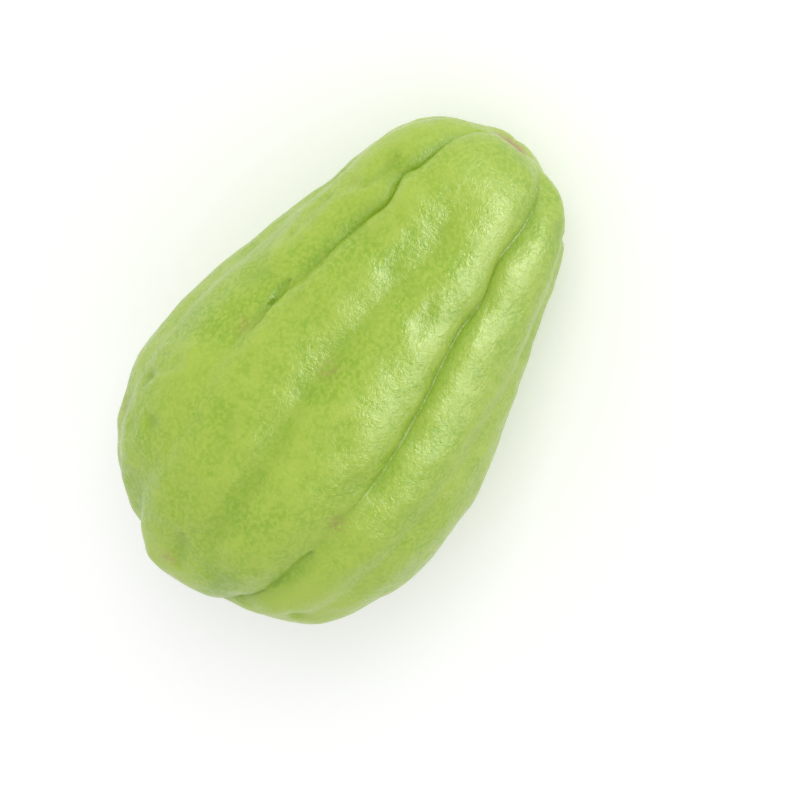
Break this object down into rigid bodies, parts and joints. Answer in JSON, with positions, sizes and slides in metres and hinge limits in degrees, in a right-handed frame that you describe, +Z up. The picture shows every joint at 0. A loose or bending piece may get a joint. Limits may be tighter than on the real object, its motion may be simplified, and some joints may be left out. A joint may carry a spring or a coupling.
{
  "type": "chayote squash",
  "caption": "Whole chayote squash: a pear-shaped green fruit with deep lengthwise furrows and rounded lobes, lying on its side as picked.",
  "frame": {"origin": "centre of the bounding box's footprint, on the surface the fruit rests on", "axes": "+Z up; +X along the fruit toward its narrow stem end; +Y across it, toward its left side when looking from the blossom end to the stem end"},
  "size_m": [0.1318, 0.0862, 0.0753],
  "materials": {
    "skin": "waxy green skin with a soft sheen, finely wrinkled, darker in the furrows"
  },
  "bodies": {
    "root": {"fruit": "skin"}
  },
  "joints": []
}
